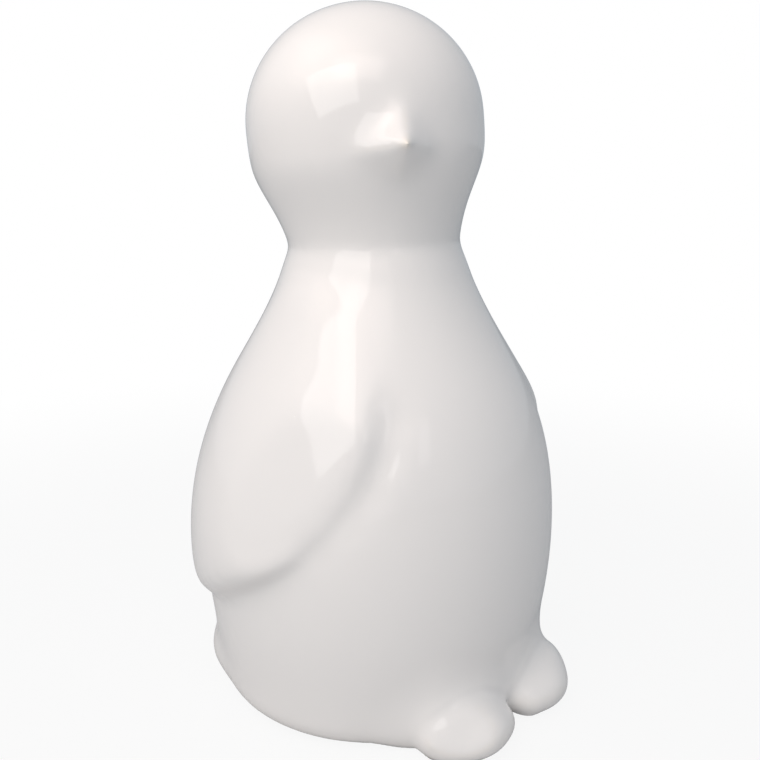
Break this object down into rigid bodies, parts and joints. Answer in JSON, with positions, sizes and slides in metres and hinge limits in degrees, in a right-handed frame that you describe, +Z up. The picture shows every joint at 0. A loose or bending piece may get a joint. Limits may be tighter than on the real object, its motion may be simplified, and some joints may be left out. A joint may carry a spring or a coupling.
{
  "type": "penguin figurine",
  "caption": "Hollow slip-cast penguin ornament in glossy white glazed earthenware, upright, with folded wings and its head turned to one side; stands on a flat foot ring.",
  "frame": {"origin": "on the floor, under the axis of the body, which is also under the centre of the part's box", "axes": "+Z up along the body; the breast and the toes face -Y; the figure's own left wing is on the +X side"},
  "size_m": [0.1746, 0.176, 0.2964],
  "materials": {
    "glaze": "gloss"
  },
  "bodies": {
    "root": {"trunk": "glaze", "head": "glaze", "beak": "glaze", "right_wing": "glaze", "left_wing": "glaze", "right_foot": "glaze", "left_foot": "glaze", "tail": "glaze"}
  },
  "joints": []
}
